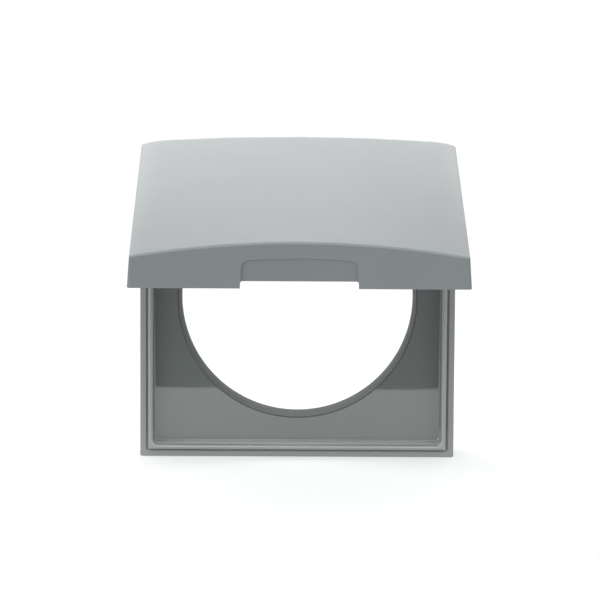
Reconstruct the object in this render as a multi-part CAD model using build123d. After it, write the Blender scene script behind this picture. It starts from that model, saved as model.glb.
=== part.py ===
"""Single-gang surround with a hinged flap lid and a round opening for a 44 mm wiring insert.

Millimetres, +X right, +Z up, and the front faces -Y. The rear face lies on the wall at y = 0,
and the origin is the centre of the round opening on that face. The lid is drawn shut and then
turned about its hinge axis to the angle at which it rests open.
"""
from build123d import *
from math import asin, cos, degrees, radians, sin, sqrt, tan
import os

# Cutters
OVER = 1.0                  # how far a cutter goes past the face it opens
REACH = 40.0                # half length of a cutter that spans the whole part

# Base frame
HALF_WIDTH = 29.75          # half of the 59.5 mm square face
BORDER_Y = -8.85            # front of the border strip
FRAME_TOP_Z = 27.3          # the frame stops here, behind the lid's roll
CORNER_R = 0.32
EDGE_R = 0.25
GROOVE_CHAMFER = 0.42       # widens the groove between the border and the lip

# Tray plate with its raised lip
LIP_OUTER = 28.22
LIP_INNER = 27.2
LIP_Y = -10.28
LIP_OUTER_R = 0.45
LIP_INNER_R = 0.5
FLOOR_Y = -6.18
FLOOR_CORNER_R = 1.0
FLOOR_EDGE_R = 0.3
PLATE_BACK_Y = -4.58
PLATE_TOP_Z = 25.8
GROOVE = 0.05
MARK_R = 1.25               # round ejector marks on the plate's back
MARK_DEPTH = 0.12
MARK_OFFSET = 24.4
MARK_ROWS = (-24.4, 0.0, 20.4)

# Rear rib, seal channel and snap hooks
RIB_OUTER = 26.6
RIB_INNER = 25.6
RIB_BACK_Y = -0.6
RIB_TOP_DROP = 0.8
CHANNEL_Y = -2.2
SEAL_GAP = 0.1
HOOK_OFFSET = 12.0
HOOK_WIDTH = 5.0
HOOK_PLAY = 0.3
HOOK_LEG_IN = 24.5
HOOK_LEG_OUT = 25.45
HOOK_NOSE_OUT = 26.1
HOOK_NOSE_Y = -3.1
HOOK_END_Y = -2.1

# Insert ring
RING_OUTER_R = 22.62
OPENING_R = 22.7
RING_LAND_R = 22.0
RING_MOUTH_R = 22.45
RING_BACK_Y = -0.5
RING_LAND_LENGTH = 3.6
RING_FLANGE_R = 23.6
RING_FLANGE_T = 1.0
RING_EDGE = 0.3
CLIP_GAP = 0.2
CLIP_T = 0.9
CLIP_BITE = 0.5
CLIP_REACH = 1.0
CLIP_WIDTH = 5.0

# Hinge
AXIS_Y = -10.6
AXIS_Z = 25.75
ROLL_R = 4.0
ROLL_GAP = 0.25
PIN_R = 1.0
PIN_CHAMFER = 0.15
PIN_GAP = 0.03
BUSH_R = 1.6
BUSH_FLANGE_R = 2.3
BUSH_FLANGE_T = 0.5
LUG_R = 2.4
LUG_IN = 22.3
LUG_OUT = 26.1
LUG_FOOT = 9.0
LUG_NOSE_Y = -0.6
LUG_NOSE_Z = -2.3
SWEEP_END = 130.5           # degrees from straight up, towards the wall
PIN_IN = 19.9
PIN_OUT = 28.3
WEB_IN = 19.6
WEB_OUT = 21.9
BOSS_IN = 26.85
BOSS_OUT = 28.75
BOSS_R = 2.9
GUSSET_IN = 19.9
GUSSET_T = 1.0
GUSSET_LENGTH = 15.0

# Lid, measured shut; the rises are the arch of its top above the height at its sides
LID_RIM_Y = -8.95
LID_WALL = 1.3
LID_DRAFT = 4.2             # degrees, on the side walls and the free edge wall
FRONT_RISE = 2.7
REAR_LIFT = 0.5
REAR_RISE = 1.25
CORNER_START = 25.8         # outboard of this the hinge end of the top falls away
CORNER_DROP = 0.75
LID_EDGE_R = 0.35
LID_CORNER_R = 0.5
LID_LEAN = 0.85             # the drafted walls lean inwards by less than this
NEAR = 0.2                  # an edge this close to a level counts as lying on it
STATIONS = (0, 10, 20, CORNER_START, 28, HALF_WIDTH)    # places across half the width
NOTCH_HALF = 10.25
NOTCH_HEIGHT = 4.9          # at the corners; the ceiling arches above this
NOTCH_ARCH = 0.45
NOTCH_DEPTH = 0.8
NOTCH_TILT = 7.5            # degrees; the pocket is shallowest at its ceiling
NOTCH_CORNER_R = 1.4
NOTCH_DRAFT = 0.3
PANEL_LIFT = 1.08
PAD_LIFT = 1.45
PAD_MARGIN = 1.2
REST_OPEN = 74.8            # degrees from shut

HINGE_AXIS = Axis((0, AXIS_Y, AXIS_Z), (-1, 0, 0))


def block(x0, x1, y0, y1, z0, z1):
    """Box between two corners."""
    size = Box(abs(x1 - x0), abs(y1 - y0), abs(z1 - z0))
    return Pos((x0 + x1) / 2, (y0 + y1) / 2, (z0 + z1) / 2) * size


def rod(radius, x0, x1, y=AXIS_Y, z=AXIS_Z):
    """Cylinder along X."""
    return Pos((x0 + x1) / 2, y, z) * Rot(0, 90, 0) * Cylinder(radius, abs(x1 - x0))


def disc(radius, y0, y1):
    """Cylinder along Y, centred on the opening."""
    return Pos(0, (y0 + y1) / 2, 0) * Rot(90, 0, 0) * Cylinder(radius, abs(y1 - y0))


def square(half, y0, y1, top, corner=0.0):
    """Block with rounded upright corners, from -half to +half in X and from -half to top in Z."""
    body = block(-half, half, y0, y1, -half, top)
    if corner > 0:
        body = fillet(body.edges().filter_by(Axis.Y), corner)
    return body


def roll_sweep():
    """Space that the lid's roll turns through, open to the front and top."""
    reach = ROLL_R + ROLL_GAP
    round_part = rod(reach, -REACH, REACH)
    above = block(-REACH, REACH, AXIS_Y - reach, AXIS_Y + reach, AXIS_Z, AXIS_Z + REACH)
    ahead = block(-REACH, REACH, AXIS_Y - REACH, AXIS_Y, AXIS_Z - reach, AXIS_Z + REACH)
    return round_part + above + ahead


def groove_edges(body, bay):
    """Front edges of the frame's bay, at both sides and along the bottom."""
    found = []
    for edge in body.edges().group_by(Axis.Y)[0]:
        middle = edge.position_at(0.5)
        if max(abs(middle.X), abs(middle.Z)) < bay + EDGE_R and middle.Z < PLATE_TOP_Z:
            found.append(edge)
    return found


def base_frame():
    """Outer shell: border strip, side walls, inner shelf, rear rib and seal channel."""
    body = square(HALF_WIDTH, BORDER_Y, 0, FRAME_TOP_Z, CORNER_R)
    front_edges = body.edges().group_by(Axis.Y)[0]
    body = fillet(front_edges, EDGE_R)
    bay = LIP_OUTER + GROOVE
    bay_top = PLATE_TOP_Z + SEAL_GAP
    rib_top = RIB_INNER - RIB_TOP_DROP
    body -= square(bay, BORDER_Y - OVER, PLATE_BACK_Y, bay_top, CORNER_R / 2)
    body = chamfer(groove_edges(body, bay), GROOVE_CHAMFER)
    body -= square(bay - SEAL_GAP / 2, CHANNEL_Y, OVER, bay_top)
    body += square(RIB_OUTER, PLATE_BACK_Y, RIB_BACK_Y, rib_top)
    body -= square(RIB_INNER, PLATE_BACK_Y - OVER, OVER, rib_top - (RIB_OUTER - RIB_INNER))
    half = HOOK_WIDTH / 2 + HOOK_PLAY
    front = HOOK_NOSE_Y - HOOK_PLAY
    back = HOOK_END_Y + HOOK_PLAY
    for side in (-1, 1):
        for z in (-HOOK_OFFSET, HOOK_OFFSET):
            body -= block(side * (RIB_INNER - OVER), side * RIB_OUTER, front, back, z - half, z + half)
    return body - roll_sweep()


def plate_hooks():
    """Four legs on the tray plate whose noses catch in the rib's windows."""
    hooks = []
    for side in (-1, 1):
        for z in (-HOOK_OFFSET, HOOK_OFFSET):
            low = z - HOOK_WIDTH / 2
            high = z + HOOK_WIDTH / 2
            leg = block(side * HOOK_LEG_IN, side * HOOK_LEG_OUT, PLATE_BACK_Y, HOOK_END_Y, low, high)
            nose = block(side * HOOK_LEG_IN, side * HOOK_NOSE_OUT, HOOK_NOSE_Y, HOOK_END_Y, low, high)
            hooks.append(leg + nose)
    return hooks


def ring_hooks():
    """Four legs on the tray plate that clip over the insert ring's flange."""
    flange_back = PLATE_BACK_Y + RING_FLANGE_T
    inner = RING_FLANGE_R + CLIP_GAP
    outer = inner + CLIP_T
    end = flange_back + CLIP_REACH
    half = CLIP_WIDTH / 2
    leg = block(inner, outer, PLATE_BACK_Y, end, -half, half)
    nose = block(RING_FLANGE_R - CLIP_BITE, outer, flange_back + SEAL_GAP, end, -half, half)
    return [Rot(0, angle, 0) * (leg + nose) for angle in (45, 135, 225, 315)]


def lug(side):
    """Hinge lug that carries one pin, with its upper face as the lid's open stop."""
    foot_y = (FLOOR_Y + PLATE_BACK_Y) / 2
    arm_start = radians(SWEEP_END)
    reach = (foot_y - AXIS_Y) / sin(arm_start)
    outline = Polyline(
        (AXIS_Y, AXIS_Z),
        (AXIS_Y + reach * sin(arm_start), AXIS_Z + reach * cos(arm_start)),
        (foot_y, AXIS_Z - LUG_FOOT),
        (AXIS_Y + LUG_NOSE_Y, AXIS_Z + LUG_NOSE_Z),
        close=True,
    )
    arm = extrude(Plane.YZ * make_face(outline), LUG_OUT - LUG_IN)
    arm = Pos(LUG_IN, 0, 0) * arm
    body = arm + rod(LUG_R, LUG_IN, LUG_OUT)
    body -= rod(BUSH_R, LUG_IN - OVER, LUG_OUT + OVER)
    return body if side > 0 else mirror(body, Plane.YZ)


def tray_plate():
    """Recessed floor with the round opening, raised lip, hinge lugs and snap hooks."""
    body = square(LIP_OUTER, LIP_Y, PLATE_BACK_Y, PLATE_TOP_Z, CORNER_R / 2)
    rim_edges = body.edges().group_by(Axis.Y)[0]
    body = fillet(rim_edges, LIP_OUTER_R)
    pocket = square(LIP_INNER, LIP_Y - OVER, FLOOR_Y, PLATE_TOP_Z + OVER, FLOOR_CORNER_R)
    pocket = fillet(pocket.edges().group_by(Axis.Y)[-1], FLOOR_EDGE_R)
    body -= pocket
    inner_rim = [e for e in body.edges().group_by(Axis.Y)[0] if e.length > LIP_INNER]
    body = fillet(inner_rim, LIP_INNER_R)
    body -= roll_sweep()
    body -= disc(OPENING_R, FLOOR_Y - OVER, PLATE_BACK_Y + OVER)
    for side in (-1, 1):
        body += lug(side)
    for hook in plate_hooks() + ring_hooks():
        body += hook
    for x in (-MARK_OFFSET, MARK_OFFSET):
        for z in MARK_ROWS:
            body -= Pos(x, 0, z) * disc(MARK_R, PLATE_BACK_Y - MARK_DEPTH, PLATE_BACK_Y + OVER)
    return body


def insert_ring():
    """Ring around the opening: a parallel land, a flared mouth and a rear flange."""
    land_y = RING_BACK_Y - RING_LAND_LENGTH
    outline = Polyline(
        (RING_LAND_R + RING_EDGE, RING_BACK_Y),
        (RING_OUTER_R, RING_BACK_Y),
        (RING_OUTER_R, PLATE_BACK_Y + RING_FLANGE_T),
        (RING_FLANGE_R, PLATE_BACK_Y + RING_FLANGE_T),
        (RING_FLANGE_R, PLATE_BACK_Y),
        (RING_OUTER_R, PLATE_BACK_Y),
        (RING_OUTER_R, FLOOR_Y),
        (RING_MOUTH_R, FLOOR_Y),
        (RING_LAND_R, land_y),
        (RING_LAND_R, RING_BACK_Y - RING_EDGE),
        close=True,
    )
    return revolve(make_face(outline), Axis.Y, 360)


def wall_seal():
    """Soft square strip in the rear channel, flush with the rear face."""
    outer = LIP_OUTER + GROOVE - SEAL_GAP
    body = square(outer, CHANNEL_Y, 0, PLATE_TOP_Z)
    inner = RIB_OUTER + SEAL_GAP
    return body - square(inner, CHANNEL_Y - OVER, OVER, RIB_INNER - RIB_TOP_DROP + SEAL_GAP)


def dome(x):
    """Share of the lid's rise at a place across its width."""
    return 1 - (x / HALF_WIDTH) ** 2


def corner_fall(x):
    """How far the hinge end of the lid's top has fallen away at a place across its width."""
    share = max(0, (abs(x) - CORNER_START) / (HALF_WIDTH - CORNER_START))
    return CORNER_DROP * share ** 2


def lid_section(x, inset, rim_y):
    """Side outline of the lid at one x, shut, moved inwards by inset."""
    front_v = ROLL_R + FRONT_RISE * dome(x) - inset
    rear_v = ROLL_R + REAR_LIFT + REAR_RISE * dome(x) - corner_fall(x) - inset
    radius = ROLL_R - inset
    draft = (front_v - (AXIS_Y - LID_RIM_Y)) * tan(radians(LID_DRAFT))
    end_z = AXIS_Z + sqrt(radius ** 2 - (LID_RIM_Y - AXIS_Y) ** 2)
    foot = (LID_RIM_Y, -HALF_WIDTH + inset)
    front = (AXIS_Y - front_v, -HALF_WIDTH + inset + draft)
    crown = (AXIS_Y - rear_v, AXIS_Z)
    top = (AXIS_Y, AXIS_Z + radius)
    back = (LID_RIM_Y, end_z)
    turn = degrees(asin((LID_RIM_Y - AXIS_Y) / radius))
    tangent_point = (crown[0], (crown[1] + front[1]) / 2)
    edges = [
        Line(foot, front),
        Bezier(front, tangent_point, crown),
        EllipticalCenterArc((AXIS_Y, AXIS_Z), rear_v, radius, 90, arc_size=90),
        CenterArc((AXIS_Y, AXIS_Z), radius, 90 - turn, turn),
    ]
    if rim_y > LID_RIM_Y:
        edges.append(Polyline(back, (rim_y, end_z), (rim_y, foot[1]), foot))
    else:
        edges.append(Line(back, foot))
    return Plane.YZ.offset(x) * make_face(edges)


def lid_block(inset, rim_y):
    """Solid inside the lid's outline, moved inwards by inset, with drafted sides."""
    stations = [-x for x in reversed(STATIONS[1:])] + list(STATIONS)
    body = loft([lid_section(x, inset, rim_y) for x in stations])
    low = HALF_WIDTH - inset
    depth = LID_RIM_Y - AXIS_Y + ROLL_R + FRONT_RISE + OVER
    high = low - depth * tan(radians(LID_DRAFT))
    rear = LID_RIM_Y + 2 * OVER
    outline = Polyline(
        (-low, rear), (-low, LID_RIM_Y), (-high, LID_RIM_Y - depth),
        (high, LID_RIM_Y - depth), (low, LID_RIM_Y), (low, rear),
        close=True,
    )
    wedge = Pos(0, 0, -REACH) * extrude(make_face(outline), 2 * REACH)
    return body & wedge


def corner_edges(body):
    """Upright corners between the lid's free edge wall and its side walls."""
    found = []
    side = HALF_WIDTH - LID_LEAN
    for edge in body.edges():
        middle = edge.position_at(0.5)
        if abs(middle.X) > side and middle.Z < -side:
            found.append(edge)
    return found


def crown_edges(body):
    """Edges where the arched top meets the side walls and the free edge wall."""
    found = []
    side = HALF_WIDTH - LID_LEAN
    for edge in body.edges():
        start, middle, end = (edge.position_at(t) for t in (0, 0.5, 1))
        on_rim = middle.Y > LID_RIM_Y - NEAR
        on_side = min(abs(p.X) for p in (start, middle, end)) > side
        on_front = middle.Z < -side and middle.Y < AXIS_Y - ROLL_R + NEAR
        upright = abs(start.Y - end.Y) > ROLL_R and middle.Z < -side
        if not on_rim and not upright and (on_side or on_front):
            found.append(edge)
    return found


def notch_face(z, grow):
    """Outline of the fingertip pocket at one depth: straight flanks and an arched ceiling."""
    half = NOTCH_HALF - NOTCH_DRAFT + grow
    height = NOTCH_HEIGHT + grow
    outline = [
        Polyline((-half, -height), (-half, OVER), (half, OVER), (half, -height)),
        ThreePointArc((half, -height), (0, -height - NOTCH_ARCH), (-half, -height)),
    ]
    face = make_face(outline)
    ceiling_corners = face.vertices().sort_by(Axis.Y)[:2]
    face = fillet(ceiling_corners, NOTCH_CORNER_R)
    return Plane((0, LID_RIM_Y, z), x_dir=(1, 0, 0), z_dir=(0, 0, 1)) * face


def notch_cutter():
    """Fingertip pocket in the free edge wall, drafted all round and shallowest at its ceiling."""
    back = notch_face(-HALF_WIDTH + NOTCH_DEPTH, 0.0)
    front = notch_face(-HALF_WIDTH - NOTCH_DEPTH, 2 * NOTCH_DRAFT)
    rim = Axis((0, LID_RIM_Y, -HALF_WIDTH), (1, 0, 0))
    return loft([back, front]).rotate(rim, NOTCH_TILT - LID_DRAFT)


def knuckles(side):
    """Web and end boss on the lid that hold one hinge pin."""
    both = rod(BOSS_R, WEB_IN, WEB_OUT) + rod(BOSS_R, BOSS_IN, BOSS_OUT)
    return both if side > 0 else mirror(both, Plane.YZ)


def gusset(side):
    """Thin triangular rib inside the lid that runs forward from one web."""
    inside = AXIS_Y - ROLL_R - REAR_LIFT
    outline = Polyline(
        (AXIS_Y - PIN_R / 2, AXIS_Z),
        (inside, AXIS_Z),
        (inside, AXIS_Z - GUSSET_LENGTH),
        (inside + LID_WALL / 2, AXIS_Z - GUSSET_LENGTH),
        close=True,
    )
    rib = Pos(GUSSET_IN, 0, 0) * extrude(Plane.YZ * make_face(outline), GUSSET_T)
    return rib if side > 0 else mirror(rib, Plane.YZ)


def lid_shut():
    """Flap lid, shut: arched shell, finger notch with its own panel, knuckles and pin holes."""
    outer = lid_block(0, LID_RIM_Y)
    outer = fillet(corner_edges(outer), LID_CORNER_R)
    outer = fillet(crown_edges(outer), LID_EDGE_R)
    inner = lid_block(LID_WALL, LID_RIM_Y + OVER)
    pad_half = NOTCH_HALF + PAD_MARGIN
    panel_back = -HALF_WIDTH + NOTCH_DEPTH + LID_WALL
    pad_front_y = AXIS_Y - ROLL_R - PAD_MARGIN
    pad = block(-pad_half, pad_half, LID_RIM_Y - PAD_LIFT, pad_front_y, -HALF_WIDTH, panel_back)
    body = outer - (inner - pad)
    body -= notch_cutter()
    body -= block(-NOTCH_HALF, NOTCH_HALF, LID_RIM_Y + OVER, LID_RIM_Y - PANEL_LIFT,
                  -HALF_WIDTH - OVER, panel_back)
    for side in (-1, 1):
        body += knuckles(side)
        body += gusset(side)
        body -= rod(PIN_R, side * (WEB_IN - OVER), side * PIN_OUT)
    return body


def hinge_pin(side):
    """Steel pin pressed into the lid's knuckles, with chamfered ends."""
    pin = rod(PIN_R, side * PIN_IN, side * PIN_OUT)
    return chamfer(pin.edges().filter_by(GeomType.CIRCLE), PIN_CHAMFER)


def hinge_bush(side):
    """Flanged friction bush in a lug, with running clearance on the pin."""
    sleeve = rod(BUSH_R, side * LUG_IN, side * LUG_OUT)
    flange = rod(BUSH_FLANGE_R, side * LUG_OUT, side * (LUG_OUT + BUSH_FLANGE_T))
    bore = rod(PIN_R + PIN_GAP, side * (LUG_IN - OVER), side * (LUG_OUT + OVER))
    return sleeve + flange - bore


def opened(shape):
    """Turn a piece of the shut lid to the angle at which it rests open."""
    return shape.rotate(HINGE_AXIS, REST_OPEN)


def write_parts():
    os.makedirs("parts", exist_ok=True)
    parts = {
        "base_frame": base_frame(),
        "tray_plate": tray_plate(),
        "insert_ring": insert_ring(),
        "wall_seal": wall_seal(),
        "lid": opened(lid_shut()),
    }
    for name, side in (("left", -1), ("right", 1)):
        parts["hinge_pin_" + name] = opened(hinge_pin(side))
        parts["hinge_bush_" + name] = hinge_bush(side)
    for name, shape in parts.items():
        export_step(shape, "parts/" + name + ".step")


write_parts()
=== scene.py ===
"""Looks for the hinged-lid surround: moulded grey plastics, steel pins, soft seal, studio and camera.

Every length is in metres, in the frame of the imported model.
"""
import math

import bpy
from mathutils import Matrix, Vector


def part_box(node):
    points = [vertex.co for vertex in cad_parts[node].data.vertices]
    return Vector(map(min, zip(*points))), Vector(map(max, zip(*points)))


MM = 0.001

# Camera: a long lens a little above the opening's axis
CAMERA_DISTANCE = 633.6 * MM
CAMERA_ELEVATION = math.radians(7.667)
CAMERA_AZIMUTH = math.radians(0.34)
CAMERA_ROLL = math.radians(0.34)
CAMERA_TARGET = Vector((0.449, -6.0, -0.097)) * MM
CAMERA_LENS = 200.4
CAMERA_SENSOR = 36.0
CAMERA_CLIP = (10 * MM, 20.0)

# The white sheet under the surround
SHEET_AHEAD = 76 * MM
SHEET_BEHIND = 900 * MM
SHEET_WIDTH = 1.6
SHEET_GAP = 0.02 * MM
SHEET_TONE = 0.55
SHEET_ROUGHNESS = 0.9
SHEET_GLOW_SEEN = 0.45          # to the eye
SHEET_GLOW_CAST = 0.36          # as a light and in reflections

# The studio as a light. The stops go by height of the direction: 0 is level and 1 straight up
WORLD_STRENGTH = 3.9
FRONT_STOPS = ((0.02, 0.10), (0.12, 0.62), (0.3, 0.95), (0.5, 1.0), (0.75, 0.40), (1.0, 0.28))
BACK_STOPS = ((0.0, 0.2), (0.3, 0.24), (0.6, 0.25), (0.8, 0.27), (1.0, 0.28))
FRONT_TO_BACK = (-0.2, 0.3)     # where the front's light gives way to the back's
RIGHT_SHARE = 0.55              # of the light on the left
FLANK_SHARE = 0.35              # of the light that comes straight from either side
FLANK_RANGE = (0.3, 0.9)        # in squares of the sideways part of the direction
STUDIO_TINT = (0.965, 1.0, 0.995)

# Softbox behind the lid, over the sheet
SOFTBOX_PLACE = Vector((-10, 85, 85)) * MM
SOFTBOX_AIM = Vector((0, -20, 30)) * MM
SOFTBOX_SIZE = (260 * MM, 40 * MM)
SOFTBOX_POWER = 0.11

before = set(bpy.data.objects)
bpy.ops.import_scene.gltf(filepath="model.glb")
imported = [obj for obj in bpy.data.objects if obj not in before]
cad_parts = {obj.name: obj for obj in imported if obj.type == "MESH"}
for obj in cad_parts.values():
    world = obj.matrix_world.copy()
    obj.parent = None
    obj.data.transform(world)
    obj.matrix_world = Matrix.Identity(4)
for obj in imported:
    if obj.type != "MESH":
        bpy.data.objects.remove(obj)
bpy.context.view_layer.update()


# ---------------------------------------------------------------- shader helpers

# Noise values that reach the ends of a range and of a tint
NOISE_SPAN = (0.25, 0.75)
TINT_SPAN = (0.3, 0.7)


def new_material(name):
    """A node material with its Principled shader."""
    material = bpy.data.materials.new(name)
    material.use_nodes = True
    shader = material.node_tree.nodes["Principled BSDF"]
    return material, shader


def noise(tree, scale, detail=4.0, roughness=0.55):
    """Noise on the object's own coordinates, in features per metre."""
    coordinates = tree.nodes.new("ShaderNodeTexCoord")
    texture = tree.nodes.new("ShaderNodeTexNoise")
    texture.inputs["Scale"].default_value = scale
    texture.inputs["Detail"].default_value = detail
    texture.inputs["Roughness"].default_value = roughness
    tree.links.new(coordinates.outputs["Object"], texture.inputs["Vector"])
    return texture.outputs["Fac"]


def spread(tree, value, low, high):
    """Maps a noise value to the range from low to high."""
    node = tree.nodes.new("ShaderNodeMapRange")
    node.inputs["From Min"].default_value = NOISE_SPAN[0]
    node.inputs["From Max"].default_value = NOISE_SPAN[1]
    node.inputs["To Min"].default_value = low
    node.inputs["To Max"].default_value = high
    tree.links.new(value, node.inputs["Value"])
    return node.outputs["Result"]


def tinted(tree, value, colour_a, colour_b):
    """Colour between two colours, by a noise value."""
    node = tree.nodes.new("ShaderNodeValToRGB")
    for element, place, colour in zip(node.color_ramp.elements, TINT_SPAN, (colour_a, colour_b)):
        element.position = place
        element.color = (*colour, 1)
    tree.links.new(value, node.inputs["Fac"])
    return node.outputs["Color"]


def ramp(tree, value, stops):
    """Grey levels by a value, each stop a (value, level) pair with levels from 0 to 1."""
    node = tree.nodes.new("ShaderNodeValToRGB")
    elements = node.color_ramp.elements
    elements[0].position = stops[0][0]
    elements[1].position = stops[-1][0]
    for place, _ in stops[1:-1]:
        elements.new(place)
    for element, (_, level) in zip(elements, stops):
        element.color = (level, level, level, 1)
    tree.links.new(value, node.inputs["Fac"])
    return node.outputs["Color"]


def mixed(tree, factor, a, b):
    """Colour a where factor is 0 and colour b where it is 1."""
    node = tree.nodes.new("ShaderNodeMix")
    node.data_type = "RGBA"
    tree.links.new(factor, node.inputs["Factor"])
    for name, colour in (("A", a), ("B", b)):
        if isinstance(colour, tuple):
            node.inputs[name].default_value = colour
        else:
            tree.links.new(colour, node.inputs[name])
    return node.outputs["Result"]


def overlaid(tree, a, b):
    """Product of two colours."""
    node = tree.nodes.new("ShaderNodeMix")
    node.data_type = "RGBA"
    node.blend_type = "MULTIPLY"
    node.inputs["Factor"].default_value = 1.0
    tree.links.new(a, node.inputs["A"])
    tree.links.new(b, node.inputs["B"])
    return node.outputs["Result"]


def part_of_way(tree, value, start, end):
    """0 below start, 1 above end, and a straight line between them."""
    node = tree.nodes.new("ShaderNodeMapRange")
    node.inputs["From Min"].default_value = start
    node.inputs["From Max"].default_value = end
    tree.links.new(value, node.inputs["Value"])
    return node.outputs["Result"]


def product(tree, a, b):
    """Product of two values."""
    node = tree.nodes.new("ShaderNodeMath")
    node.operation = "MULTIPLY"
    tree.links.new(a, node.inputs[0])
    tree.links.new(b, node.inputs[1])
    return node.outputs["Value"]


def scaled(colour, share):
    """A colour made lighter or darker."""
    return tuple(c * share for c in colour)


def bump(tree, shader, heights):
    """Chains bumps, each (height value, depth in metres), into the shader's normal."""
    normal = None
    for height, depth in heights:
        node = tree.nodes.new("ShaderNodeBump")
        node.inputs["Distance"].default_value = depth
        node.inputs["Strength"].default_value = 1.0
        tree.links.new(height, node.inputs["Height"])
        if normal is not None:
            tree.links.new(normal, node.inputs["Normal"])
        normal = node.outputs["Normal"]
    tree.links.new(normal, shader.inputs["Normal"])


# ---------------------------------------------------------------- materials

SHADE_SPREAD = 0.025
ROUGHNESS_SPREAD = 0.03

# Textures, in features per metre, and the depths of their bumps
CLOUD_SCALE = 60.0
WAVE_SCALE = 90.0
WAVE_DEPTH = 0.02 * MM
GRAIN_SCALE = 5200.0
FRAME_GRAIN = 0.006 * MM
SMALL_PART_GRAIN = 0.004 * MM

PLASTIC_IOR = 1.5
FRAME_GREY = (0.225, 0.234, 0.232)
FRAME_ROUGHNESS = 0.42
LID_GREY = (0.219, 0.231, 0.239)
LID_ROUGHNESS = 0.40
RING_GREY = (0.114, 0.121, 0.119)
RING_ROUGHNESS = 0.6
RING_SPECULAR = 0.2
BUSH_BLACK = (0.03, 0.03, 0.031)
BUSH_ROUGHNESS = 0.45

FLOOR_GREY = (0.085, 0.095, 0.095)
LIP_GREY = (0.183, 0.193, 0.190)
# Painted light: the much lighter grey painted on the lower wall inside the lip
WALL_PAINTED_LIGHT = (0.42, 0.44, 0.433)
TRAY_IOR = 2.3
FLOOR_ROUGHNESS = 0.035
LIP_ROUGHNESS = 0.38

# Only the tray's floor is polished; it lies at the front end of the insert ring
FLOOR_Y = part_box("insert_ring")[0].y
POLISH_FADE = 0.06 * MM

# Painted light: the lower wall inside the lip is painted a much lighter grey, from the lip's rounded
# front back to the floor, and it fades out higher up the sides
BEAD_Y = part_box("base_frame")[0].y - 1.1 * MM
WALL_FADE = 0.4 * MM
LOW_WALL_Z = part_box("tray_plate")[0].z + 2.2 * MM
LOW_WALL_FADE = 2 * MM

RUBBER_DARK = (0.018, 0.018, 0.019)
RUBBER_LIGHT = (0.032, 0.032, 0.033)
RUBBER_ROUGHNESS = (0.62, 0.78)
RUBBER_CLOUD_SCALE = 400.0
PEBBLE_SCALE = 3000.0
PEBBLE_DEPTH = 0.012 * MM

STEEL_DARK = (0.50, 0.50, 0.51)
STEEL_LIGHT = (0.63, 0.63, 0.64)
STEEL_ROUGHNESS = (0.22, 0.38)
MARKS_PER_METRE = (400.0, 9000.0, 9000.0)
MARK_DEPTH = 0.004 * MM


def shaded(tree, cloud, colour):
    """A colour made a little lighter and darker from place to place."""
    return tinted(tree, cloud, scaled(colour, 1 - SHADE_SPREAD), scaled(colour, 1 + SHADE_SPREAD))


def moulded_plastic(name, colour, roughness, grain_depth, specular=0.5):
    """Moulded thermoplastic: near-even colour, fine spark grain, faint flow marks."""
    material, shader = new_material(name)
    tree = material.node_tree
    cloud = noise(tree, CLOUD_SCALE, 3.0)
    tree.links.new(shaded(tree, cloud, colour), shader.inputs["Base Color"])
    grain = noise(tree, GRAIN_SCALE, 3.0, 0.6)
    rough = spread(tree, grain, roughness - ROUGHNESS_SPREAD, roughness + ROUGHNESS_SPREAD)
    tree.links.new(rough, shader.inputs["Roughness"])
    shader.inputs["IOR"].default_value = PLASTIC_IOR
    shader.inputs["Specular IOR Level"].default_value = specular
    waves = noise(tree, WAVE_SCALE, 2.0, 0.4)
    bump(tree, shader, [(waves, WAVE_DEPTH), (grain, grain_depth)])
    return material


def tray_plastic(name):
    """A polished floor and a satin lip, lugs and back, with painted light on the lower wall inside
    the lip that fades out higher up.
    """
    material, shader = new_material(name)
    tree = material.node_tree
    coordinates = tree.nodes.new("ShaderNodeTexCoord")
    split = tree.nodes.new("ShaderNodeSeparateXYZ")
    tree.links.new(coordinates.outputs["Object"], split.inputs["Vector"])
    depth = split.outputs["Y"]
    off_wall = part_of_way(tree, depth, FLOOR_Y - 2 * POLISH_FADE, FLOOR_Y - POLISH_FADE)
    off_back = part_of_way(tree, depth, FLOOR_Y + 2 * POLISH_FADE, FLOOR_Y + POLISH_FADE)
    polished = product(tree, off_wall, off_back)
    off_bead = part_of_way(tree, depth, BEAD_Y, BEAD_Y + WALL_FADE)
    # The painted light is strongest at the bottom of the tray and fades out higher up the side walls
    low = part_of_way(tree, split.outputs["Z"], LOW_WALL_Z + LOW_WALL_FADE, LOW_WALL_Z)
    wall = product(tree, product(tree, off_bead, off_back), low)
    cloud = noise(tree, CLOUD_SCALE, 3.0)
    # Painted light: the lower wall inside the lip is painted a lighter grey than the lip
    satin_and_painted_light = mixed(tree, wall, shaded(tree, cloud, LIP_GREY), shaded(tree, cloud, WALL_PAINTED_LIGHT))
    colour = mixed(tree, polished, satin_and_painted_light, shaded(tree, cloud, FLOOR_GREY))
    tree.links.new(colour, shader.inputs["Base Color"])
    rough = tree.nodes.new("ShaderNodeMapRange")
    rough.inputs["To Min"].default_value = LIP_ROUGHNESS
    rough.inputs["To Max"].default_value = FLOOR_ROUGHNESS
    tree.links.new(polished, rough.inputs["Value"])
    tree.links.new(rough.outputs["Result"], shader.inputs["Roughness"])
    shader.inputs["IOR"].default_value = TRAY_IOR
    waves = noise(tree, WAVE_SCALE, 2.0, 0.4)
    bump(tree, shader, [(waves, WAVE_DEPTH)])
    return material


def soft_rubber(name):
    """Dull dark elastomer with a fine pebbled skin."""
    material, shader = new_material(name)
    tree = material.node_tree
    cloud = noise(tree, RUBBER_CLOUD_SCALE)
    tree.links.new(tinted(tree, cloud, RUBBER_DARK, RUBBER_LIGHT), shader.inputs["Base Color"])
    grain = noise(tree, PEBBLE_SCALE, roughness=0.7)
    tree.links.new(spread(tree, grain, *RUBBER_ROUGHNESS), shader.inputs["Roughness"])
    bump(tree, shader, [(grain, PEBBLE_DEPTH)])
    return material


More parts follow.
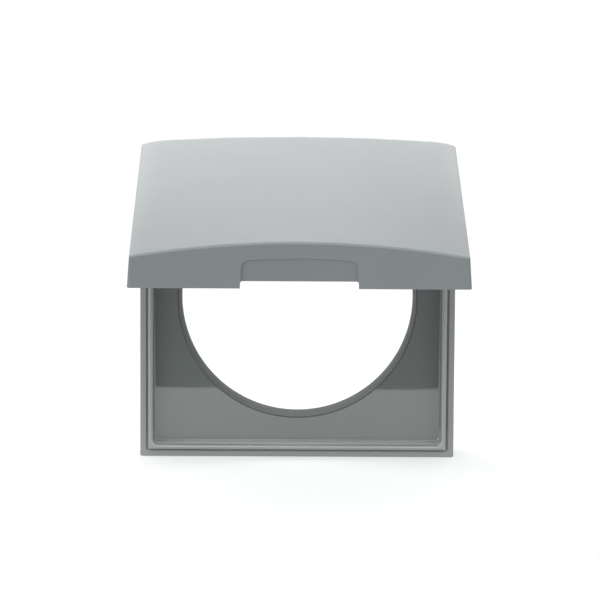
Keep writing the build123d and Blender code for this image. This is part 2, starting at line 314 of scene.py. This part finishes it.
def drawn_steel(name):
    """Steel wire with fine marks along its length."""
    material, shader = new_material(name)
    tree = material.node_tree
    coordinates = tree.nodes.new("ShaderNodeTexCoord")
    stretch = tree.nodes.new("ShaderNodeMapping")
    stretch.inputs["Scale"].default_value = MARKS_PER_METRE
    tree.links.new(coordinates.outputs["Object"], stretch.inputs["Vector"])
    marks = tree.nodes.new("ShaderNodeTexNoise")
    marks.inputs["Scale"].default_value = 1.0
    tree.links.new(stretch.outputs["Vector"], marks.inputs["Vector"])
    value = marks.outputs["Fac"]
    tree.links.new(tinted(tree, value, STEEL_DARK, STEEL_LIGHT), shader.inputs["Base Color"])
    tree.links.new(spread(tree, value, *STEEL_ROUGHNESS), shader.inputs["Roughness"])
    shader.inputs["Metallic"].default_value = 1.0
    bump(tree, shader, [(value, MARK_DEPTH)])
    return material


materials = {
    "base_frame": moulded_plastic("frame_satin", FRAME_GREY, FRAME_ROUGHNESS, FRAME_GRAIN),
    "tray_plate": tray_plastic("tray_polished_floor"),
    "insert_ring": moulded_plastic(
        "ring_matt", RING_GREY, RING_ROUGHNESS, SMALL_PART_GRAIN, RING_SPECULAR),
    "lid": moulded_plastic("lid_satin", LID_GREY, LID_ROUGHNESS, FRAME_GRAIN),
    "wall_seal": soft_rubber("seal_rubber"),
    "hinge_bush": moulded_plastic("bush_black", BUSH_BLACK, BUSH_ROUGHNESS, SMALL_PART_GRAIN),
    "hinge_pin": drawn_steel("pin_steel"),
}


def finish_for(node):
    """The material of a CAD node, found by the start of its name."""
    return next(m for start, m in materials.items() if node.startswith(start))


for node_name, node_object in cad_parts.items():
    node_object.data.materials.clear()
    node_object.data.materials.append(finish_for(node_name))


# ---------------------------------------------------------------- studio

def rectangle(name, centre, width, depth, material):
    """Flat stage card lying in XY, centred at a place."""
    mesh = bpy.data.meshes.new(name)
    x, y = width / 2, depth / 2
    mesh.from_pydata([(-x, -y, 0), (x, -y, 0), (x, y, 0), (-x, y, 0)], [], [(0, 1, 2, 3)])
    card = bpy.data.objects.new(name, mesh)
    card.location = centre
    card.data.materials.append(material)
    bpy.context.scene.collection.objects.link(card)


def white_sheet():
    """Softly glowing white sheet that the surround stands on, clear when seen from below."""
    material, shader = new_material("sheet_white")
    shader.inputs["Base Color"].default_value = (SHEET_TONE, SHEET_TONE, SHEET_TONE, 1)
    shader.inputs["Roughness"].default_value = SHEET_ROUGHNESS
    shader.inputs["Specular IOR Level"].default_value = 0.0
    shader.inputs["Emission Color"].default_value = (1, 1, 1, 1)
    tree = material.node_tree
    path = tree.nodes.new("ShaderNodeLightPath")
    glow = tree.nodes.new("ShaderNodeMapRange")
    glow.inputs["To Min"].default_value = SHEET_GLOW_CAST
    glow.inputs["To Max"].default_value = SHEET_GLOW_SEEN
    tree.links.new(path.outputs["Is Camera Ray"], glow.inputs["Value"])
    tree.links.new(glow.outputs["Result"], shader.inputs["Emission Strength"])
    side = tree.nodes.new("ShaderNodeNewGeometry")
    clear = tree.nodes.new("ShaderNodeBsdfTransparent")
    either = tree.nodes.new("ShaderNodeMixShader")
    tree.links.new(side.outputs["Backfacing"], either.inputs[0])
    tree.links.new(shader.outputs[0], either.inputs[1])
    tree.links.new(clear.outputs[0], either.inputs[2])
    tree.links.new(either.outputs[0], tree.nodes["Material Output"].inputs["Surface"])
    low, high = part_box("base_frame")
    front = low.y - SHEET_AHEAD
    back = high.y + SHEET_BEHIND
    centre = Vector((0, (front + back) / 2, low.z - SHEET_GAP))
    rectangle("white_sheet", centre, SHEET_WIDTH, back - front, material)


def back_softbox():
    """Low softbox behind the lid, hidden from the camera."""
    data = bpy.data.lights.new("back_softbox", "AREA")
    data.shape = "RECTANGLE"
    data.size, data.size_y = SOFTBOX_SIZE
    data.energy = SOFTBOX_POWER
    light = bpy.data.objects.new("back_softbox", data)
    light.location = SOFTBOX_PLACE
    light.rotation_euler = (SOFTBOX_AIM - SOFTBOX_PLACE).to_track_quat("-Z", "Y").to_euler()
    light.visible_camera = False
    bpy.context.scene.collection.objects.link(light)


def studio_world():
    """White to the eye. As a light: bright ahead and above, dim behind, dark ahead and below."""
    world = bpy.data.worlds.new("studio")
    bpy.context.scene.world = world
    world.use_nodes = True
    tree = world.node_tree
    background = tree.nodes["Background"]
    coordinates = tree.nodes.new("ShaderNodeTexCoord")
    split = tree.nodes.new("ShaderNodeSeparateXYZ")
    tree.links.new(coordinates.outputs["Generated"], split.inputs["Vector"])
    height = split.outputs["Z"]
    ahead = ramp(tree, height, FRONT_STOPS)
    behind = ramp(tree, height, BACK_STOPS)
    towards_back = part_of_way(tree, split.outputs["Y"], *FRONT_TO_BACK)
    around = mixed(tree, towards_back, ahead, behind)
    leftness = part_of_way(tree, split.outputs["X"], 1.0, -1.0)
    right_colour = (*scaled(STUDIO_TINT, RIGHT_SHARE), 1)
    sided = mixed(tree, leftness, right_colour, (*STUDIO_TINT, 1))
    across = product(tree, split.outputs["X"], split.outputs["X"])
    flank_colour = (FLANK_SHARE, FLANK_SHARE, FLANK_SHARE, 1)
    flanked = mixed(tree, part_of_way(tree, across, *FLANK_RANGE), (1, 1, 1, 1), flank_colour)
    light = overlaid(tree, overlaid(tree, around, sided), flanked)
    path = tree.nodes.new("ShaderNodeLightPath")
    seen = 1.0 / WORLD_STRENGTH
    final = mixed(tree, path.outputs["Is Camera Ray"], light, (seen, seen, seen, 1))
    tree.links.new(final, background.inputs["Color"])
    background.inputs["Strength"].default_value = WORLD_STRENGTH


def set_camera():
    """Long lens at the viewing angle, with its slight roll."""
    data = bpy.data.cameras.new("camera")
    data.lens = CAMERA_LENS
    data.sensor_width = CAMERA_SENSOR
    data.clip_start, data.clip_end = CAMERA_CLIP
    camera = bpy.data.objects.new("camera", data)
    away = Vector((
        -math.sin(CAMERA_AZIMUTH) * math.cos(CAMERA_ELEVATION),
        -math.cos(CAMERA_AZIMUTH) * math.cos(CAMERA_ELEVATION),
        math.sin(CAMERA_ELEVATION),
    ))
    place = CAMERA_TARGET + CAMERA_DISTANCE * away
    turn = (-away).to_track_quat("-Z", "Y").to_matrix().to_4x4()
    camera.matrix_world = Matrix.Translation(place) @ turn @ Matrix.Rotation(CAMERA_ROLL, 4, "Z")
    bpy.context.scene.collection.objects.link(camera)
    bpy.context.scene.camera = camera


white_sheet()
studio_world()
back_softbox()
set_camera()

bpy.context.scene.view_settings.view_transform = "Standard"
